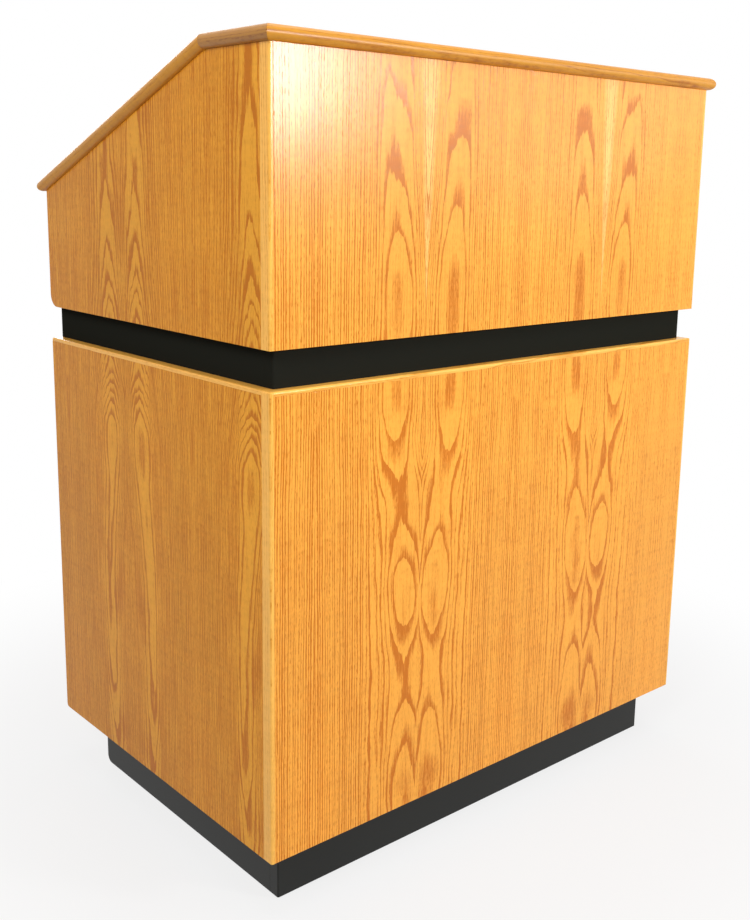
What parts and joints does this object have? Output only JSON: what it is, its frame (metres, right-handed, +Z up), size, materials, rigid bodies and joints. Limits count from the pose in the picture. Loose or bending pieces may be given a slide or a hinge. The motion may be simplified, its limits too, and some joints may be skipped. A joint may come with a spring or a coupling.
{
  "type": "host stand",
  "caption": "Oak lectern-style host stand with a sloped reading top, a recessed black band and plinth, an open upper bay and a lower cupboard with hinged doors.",
  "frame": {"origin": "on the floor, at the middle of the bounding box's underside", "axes": "+Z up; -Y towards the guests, the front face; +Y towards the host, the side with the doors; +X to the right as seen from the front"},
  "size_m": [0.906, 0.652, 1.165],
  "materials": {
    "oak_veneer": "satin lacquered oak veneer",
    "solid_oak": "satin lacquered solid oak",
    "black_board": "matt black painted board",
    "raw_wood": "unfinished softwood",
    "steel": "zinc plated",
    "black_metal": "matt black powder coat",
    "black_plastic": "moulded nylon",
    "glide": "black foot on a plated stem"
  },
  "bodies": {
    "cabinet": {"plinth_front": "black_board", "plinth_left": "black_board", "plinth_right": "black_board", "plinth_rear": "black_board", "plinth_corner_blocks": "raw_wood", "lower_deck": "oak_veneer", "lower_left_side": "oak_veneer", "lower_right_side": "oak_veneer", "lower_front_panel": "oak_veneer", "lower_left_corner_lipping": "solid_oak", "lower_right_corner_lipping": "solid_oak", "lower_front_top_lipping": "solid_oak", "lower_left_top_lipping": "solid_oak", "lower_right_top_lipping": "solid_oak", "lower_top_panel": "oak_veneer", "shelf": "oak_veneer", "shelf_pins": "steel", "hinge_frame_leaves": "steel", "hinge_pins": "steel", "catch_bodies": "black_plastic", "lock_keeper": "steel", "band_front": "black_board", "band_left": "black_board", "band_right": "black_board", "band_rear": "black_board", "band_corner_blocks": "raw_wood", "section_bolts": "steel", "upper_deck": "oak_veneer", "upper_left_side": "oak_veneer", "upper_right_side": "oak_veneer", "upper_front_panel": "oak_veneer", "upper_left_corner_lipping": "solid_oak", "upper_right_corner_lipping": "solid_oak", "side_cleats": "raw_wood", "crown_panel": "oak_veneer", "reading_panel": "oak_veneer", "crown_front_moulding": "solid_oak", "crown_left_moulding": "solid_oak", "crown_right_moulding": "solid_oak", "slope_left_moulding": "solid_oak", "slope_right_moulding": "solid_oak", "slope_rear_moulding": "solid_oak", "book_stop": "solid_oak"},
    "left_door": {"left_door": "oak_veneer", "left_door_leaves": "steel", "left_pull": "black_metal", "left_strike": "steel", "door_bolt_guides": "steel"},
    "right_door": {"right_door": "oak_veneer", "right_door_leaves": "steel", "right_pull": "black_metal", "right_strike": "steel", "lock_barrel": "steel"},
    "lock_cam": {"lock_cam": "steel"},
    "door_bolt": {"door_bolt": "steel"},
    "front_left_glide": {"front_left_glide": "glide"},
    "front_right_glide": {"front_right_glide": "glide"},
    "rear_left_glide": {"rear_left_glide": "glide"},
    "rear_right_glide": {"rear_right_glide": "glide"}
  },
  "joints": [
    {"name": "left_door_hinge", "type": "hinge", "parent": "cabinet", "child": "left_door", "pos_m": [-0.423, 0.298, 0.4095], "axis": [0, 0, 1], "range_deg": [0, 180]},
    {"name": "right_door_hinge", "type": "hinge", "parent": "cabinet", "child": "right_door", "pos_m": [0.423, 0.298, 0.4095], "axis": [0, 0, -1], "range_deg": [0, 180]},
    {"name": "lock_turn", "type": "hinge", "parent": "right_door", "child": "lock_cam", "pos_m": [0.034, 0.275, 0.672], "axis": [0, -1, 0], "range_deg": [0, 90]},
    {"name": "door_bolt_slide", "type": "slide", "parent": "left_door", "child": "door_bolt", "axis": [0, 0, 1], "range_m": [0, 0.012]},
    {"name": "front_left_glide_screw", "type": "slide", "parent": "cabinet", "child": "front_left_glide", "axis": [0, 0, -1], "range_m": [-0.0025, 0.02]},
    {"name": "front_right_glide_screw", "type": "slide", "parent": "cabinet", "child": "front_right_glide", "axis": [0, 0, -1], "range_m": [-0.0025, 0.02]},
    {"name": "rear_left_glide_screw", "type": "slide", "parent": "cabinet", "child": "rear_left_glide", "axis": [0, 0, -1], "range_m": [-0.0025, 0.02]},
    {"name": "rear_right_glide_screw", "type": "slide", "parent": "cabinet", "child": "rear_right_glide", "axis": [0, 0, -1], "range_m": [-0.0025, 0.02]}
  ]
}
